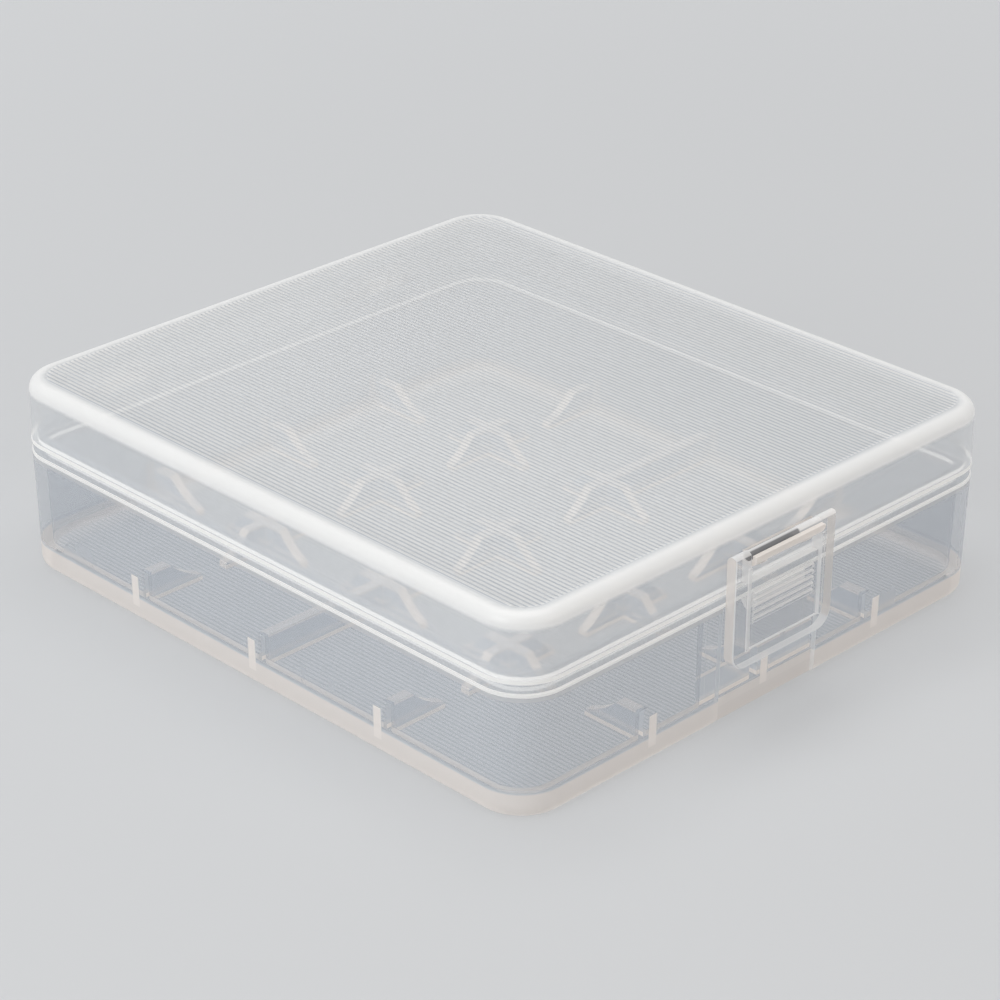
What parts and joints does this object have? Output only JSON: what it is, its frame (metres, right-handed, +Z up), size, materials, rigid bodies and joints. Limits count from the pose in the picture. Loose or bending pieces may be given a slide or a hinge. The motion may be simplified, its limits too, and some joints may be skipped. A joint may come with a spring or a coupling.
{
  "type": "battery storage case",
  "caption": "Flat rectangular battery storage case with a hinged lid, cradle webs on its floor and a clear snap latch at the front.",
  "frame": {"origin": "middle of the flat underside, on the surface the case stands on", "axes": "+Z up out of the lid; -Y out of the latch wall, +Y out of the hinge wall; +X to the right seen from the latch"},
  "size_m": [0.072, 0.0849, 0.0224],
  "materials": {
    "natural_polypropylene": "translucent milky natural polypropylene, satin outside, finely ribbed on the lid's top and the floor",
    "clear_plastic": "clear colourless moulded plastic, glossy",
    "pin_plastic": "natural moulded plastic rod"
  },
  "bodies": {
    "base": {"base_tray": "natural_polypropylene", "hinge_pin_left": "pin_plastic", "hinge_pin_right": "pin_plastic"},
    "lid": {"lid": "natural_polypropylene"},
    "latch": {"latch": "clear_plastic"}
  },
  "joints": [
    {"name": "lid_hinge", "type": "hinge", "parent": "base", "child": "lid", "pos_m": [0, 0.0416, 0.0151], "axis": [-1, 0, 0], "range_deg": [0, 180]},
    {"name": "latch_hinge", "type": "hinge", "parent": "lid", "child": "latch", "pos_m": [0, -0.04045, 0.0191], "axis": [-1, 0, 0], "range_deg": [0, 170]}
  ]
}
